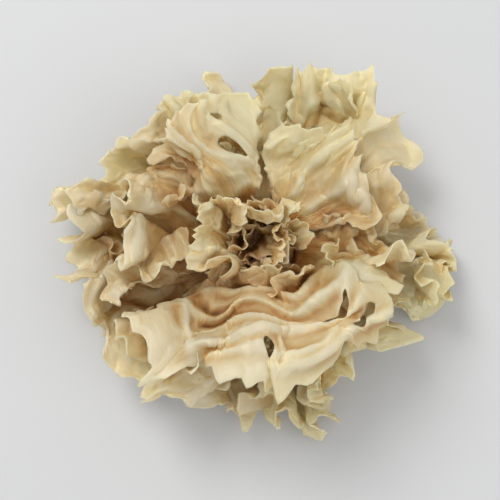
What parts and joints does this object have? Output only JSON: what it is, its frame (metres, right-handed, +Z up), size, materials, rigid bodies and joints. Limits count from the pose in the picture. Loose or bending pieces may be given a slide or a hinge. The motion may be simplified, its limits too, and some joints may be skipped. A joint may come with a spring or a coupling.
{
  "type": "snow fungus",
  "caption": "Dried head of snow fungus: thin crumpled fronds that fork from a tough base, which is cut off flat to rest on.",
  "frame": {"origin": "middle of the flat cut face under the base, on the surface that the head rests on", "axes": "+Z straight up off the cut face, +X to the right and +Y away as the head is seen from the front"},
  "size_m": [0.0779, 0.0728, 0.0294],
  "materials": {
    "base": "dry, matt, rough",
    "frond": "dry, waxy, half see-through jelly"
  },
  "bodies": {
    "root": {"base": "base", "outer_frond_1": "frond", "outer_frond_2": "frond", "outer_frond_3": "frond", "outer_frond_4": "frond", "outer_frond_5": "frond", "outer_frond_6": "frond", "outer_frond_7": "frond", "outer_frond_8": "frond", "middle_frond_1": "frond", "middle_frond_2": "frond", "middle_frond_3": "frond", "middle_frond_4": "frond", "middle_frond_5": "frond", "middle_frond_6": "frond", "inner_frond_1": "frond", "inner_frond_2": "frond", "inner_frond_3": "frond"}
  },
  "joints": []
}
